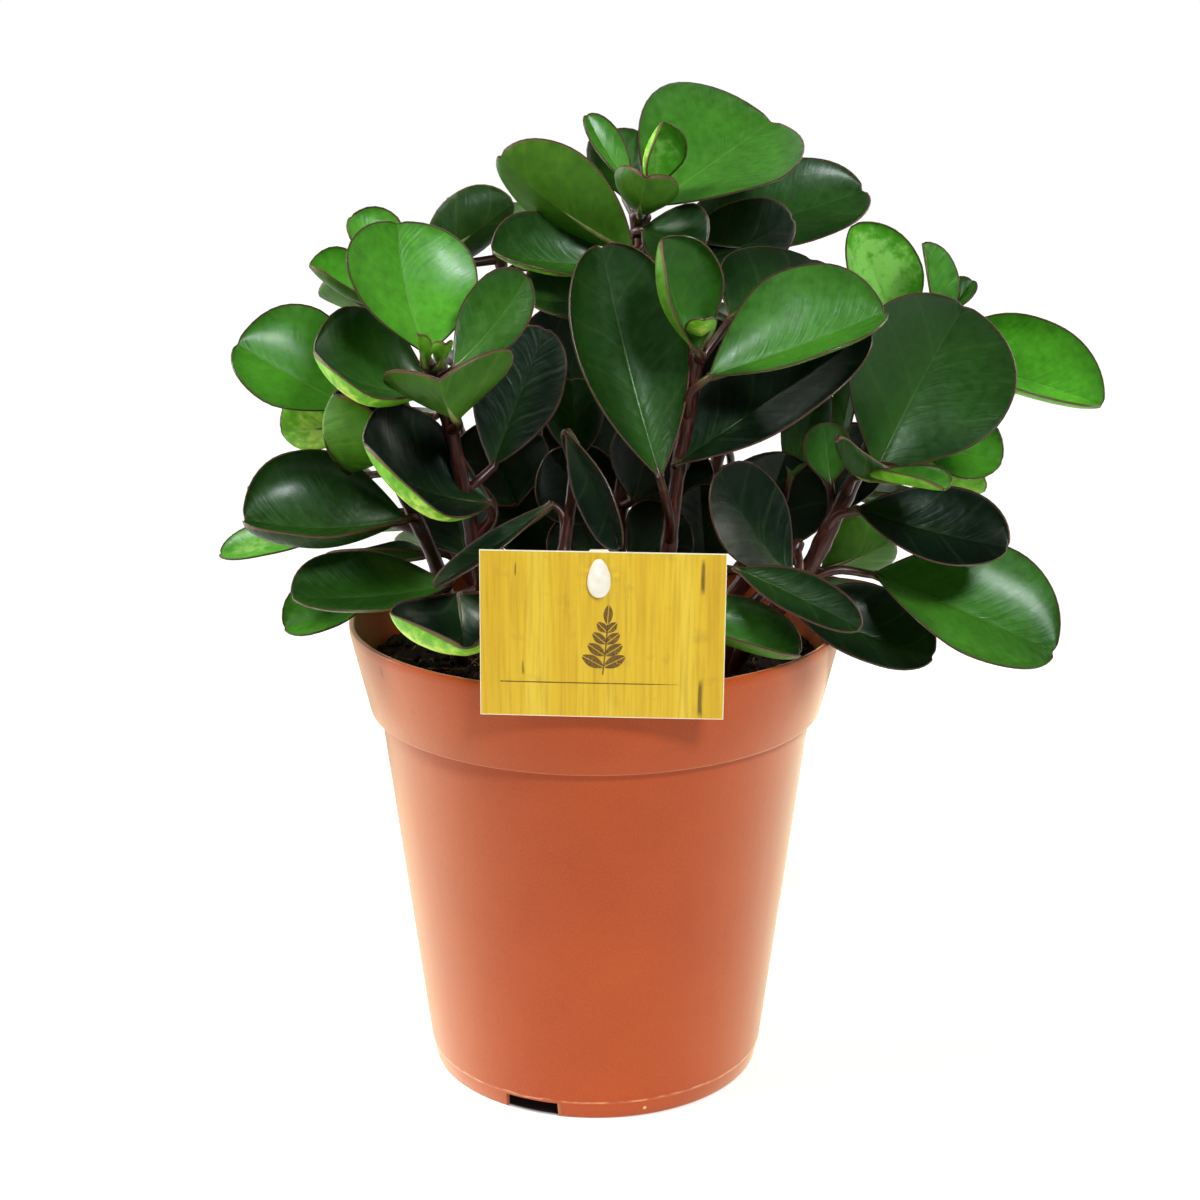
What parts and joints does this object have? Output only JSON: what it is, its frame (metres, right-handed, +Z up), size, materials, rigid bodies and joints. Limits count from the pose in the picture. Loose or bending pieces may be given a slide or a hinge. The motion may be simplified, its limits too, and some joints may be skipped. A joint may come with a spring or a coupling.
{
  "type": "potted peperomia plant",
  "caption": "Bushy peperomia with thick glossy cupped leaves on red-brown stems, growing in a terracotta-coloured plastic nursery pot with a card on a stake.",
  "frame": {"origin": "on the pot's axis, at the plane the pot stands on", "axes": "+Z up along the pot's axis, +X to the right and -Y to the front, where the card stands"},
  "size_m": [0.2993, 0.2051, 0.34],
  "materials": {
    "pot": "satin",
    "soil": "matte",
    "label_card": "satin",
    "label_stake": "satin",
    "foliage": "satin"
  },
  "bodies": {
    "root": {"pot": "pot", "soil": "soil", "label_card": "label_card", "label_stake": "label_stake", "leafy_stem_front_left": "foliage", "leafy_stem_centre": "foliage", "leafy_stem_top": "foliage", "leafy_stem_right": "foliage", "leafy_stem_right_back": "foliage", "leafy_stem_left_back": "foliage", "leafy_stem_low_left": "foliage", "leafy_stem_low_front": "foliage", "leafy_stem_low_right": "foliage", "leafy_stem_back": "foliage", "leafy_stem_back_left": "foliage", "leafy_stem_back_right": "foliage"}
  },
  "joints": []
}
